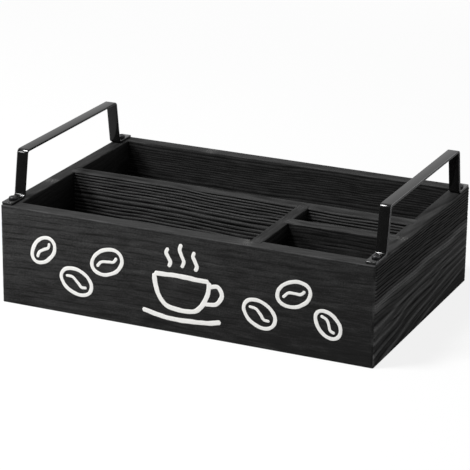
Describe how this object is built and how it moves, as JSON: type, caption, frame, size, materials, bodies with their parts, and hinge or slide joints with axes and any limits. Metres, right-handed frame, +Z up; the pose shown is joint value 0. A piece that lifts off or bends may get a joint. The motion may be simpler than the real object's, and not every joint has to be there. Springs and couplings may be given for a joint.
{
  "type": "coffee station organizer",
  "caption": "Open rectangular countertop box of black-stained wood, split by housed dividers, with a bent steel strap handle screwed to the top of each end board.",
  "frame": {"origin": "centre of the box's footprint, on the surface that it stands on", "axes": "+X along the front board to the right as seen from the front, +Y from the front board to the back board, +Z up"},
  "size_m": [0.34, 0.225, 0.1285],
  "materials": {
    "stained_wood": "black stain on brushed softwood, matt, growth rings standing proud",
    "black_strap_steel": "satin black enamel on flat steel strap",
    "black_screw_steel": "black oxide, slightly shiny",
    "white_chalk_paint": "matt white acrylic paint"
  },
  "bodies": {
    "root": {"front_board": "stained_wood", "back_board": "stained_wood", "left_side_board": "stained_wood", "right_side_board": "stained_wood", "base_panel": "stained_wood", "long_divider": "stained_wood", "short_divider": "stained_wood", "small_divider": "stained_wood", "left_handle": "black_strap_steel", "right_handle": "black_strap_steel", "handle_screws": "black_screw_steel"}
  },
  "joints": []
}
